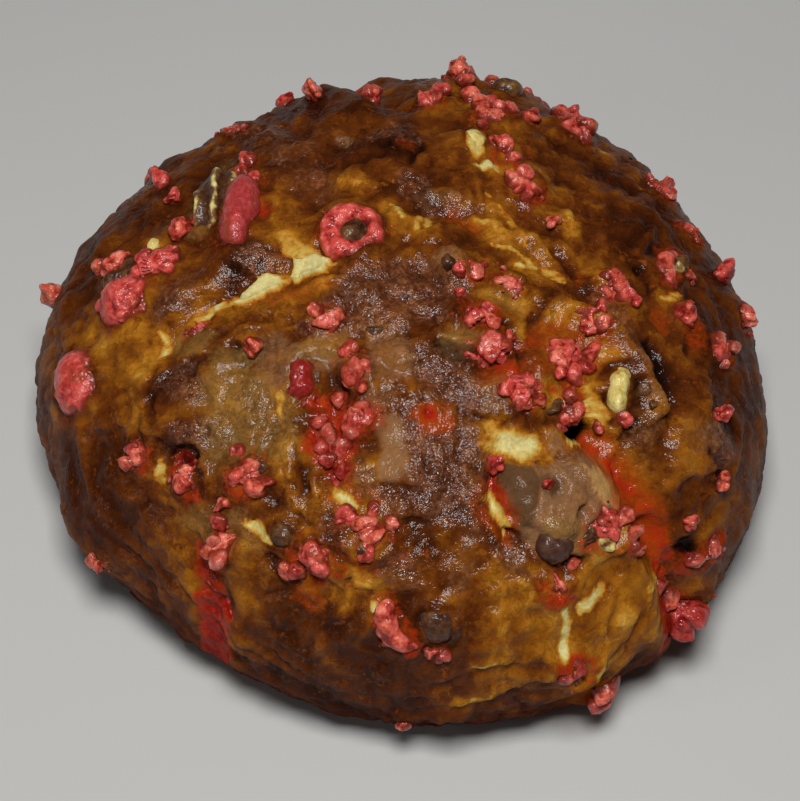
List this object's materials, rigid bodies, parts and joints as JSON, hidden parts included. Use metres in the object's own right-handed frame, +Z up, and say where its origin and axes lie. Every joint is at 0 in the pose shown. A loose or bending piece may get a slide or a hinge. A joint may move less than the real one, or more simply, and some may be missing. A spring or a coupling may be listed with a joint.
{
  "type": "praline brioche",
  "caption": "Round domed brioche loaf with a glossy dark brown crust, set with chunks of pink sugared almonds and bare almonds.",
  "frame": {"origin": "middle of the flat underside, on the surface that the loaf stands on", "axes": "+Z up through the crown, -Y towards the front that the picture shows, +X to the right"},
  "size_m": [0.2144, 0.2201, 0.0921],
  "materials": {
    "crust": null,
    "pink_sugar": null,
    "almond": null
  },
  "bodies": {
    "root": {"loaf": "crust", "praline_01": "pink_sugar", "praline_02": "pink_sugar", "praline_03": "pink_sugar", "praline_04": "pink_sugar", "praline_05": "pink_sugar", "praline_06": "pink_sugar", "praline_07": "pink_sugar", "praline_08": "pink_sugar", "praline_09": "pink_sugar", "praline_10": "pink_sugar", "praline_11": "pink_sugar", "praline_12": "pink_sugar", "praline_13": "pink_sugar", "praline_14": "pink_sugar", "praline_15": "pink_sugar", "praline_16": "pink_sugar", "praline_17": "pink_sugar", "praline_18": "pink_sugar", "praline_19": "pink_sugar", "praline_20": "pink_sugar", "praline_21": "pink_sugar", "praline_22": "pink_sugar", "praline_23": "pink_sugar", "praline_24": "pink_sugar", "praline_25": "pink_sugar", "praline_26": "pink_sugar", "praline_27": "pink_sugar", "praline_28": "pink_sugar", "praline_29": "pink_sugar", "praline_30": "pink_sugar", "praline_31": "pink_sugar", "praline_32": "pink_sugar", "praline_33": "pink_sugar", "praline_34": "pink_sugar", "praline_35": "pink_sugar", "praline_36": "pink_sugar", "praline_37": "pink_sugar", "praline_38": "pink_sugar", "praline_39": "pink_sugar", "praline_40": "pink_sugar", "praline_41": "pink_sugar", "praline_42": "pink_sugar", "praline_ring": "pink_sugar", "praline_crescent": "pink_sugar", "praline_hook": "pink_sugar", "praline_back_1": "pink_sugar", "praline_back_2": "pink_sugar", "praline_back_3": "pink_sugar", "praline_back_4": "pink_sugar", "praline_back_5": "pink_sugar", "praline_back_6": "pink_sugar", "praline_back_7": "pink_sugar", "almond_1": "almond", "almond_2": "almond", "almond_3": "almond", "almond_4": "almond", "almond_5": "almond", "almond_6": "almond", "almond_7": "almond"}
  },
  "joints": []
}
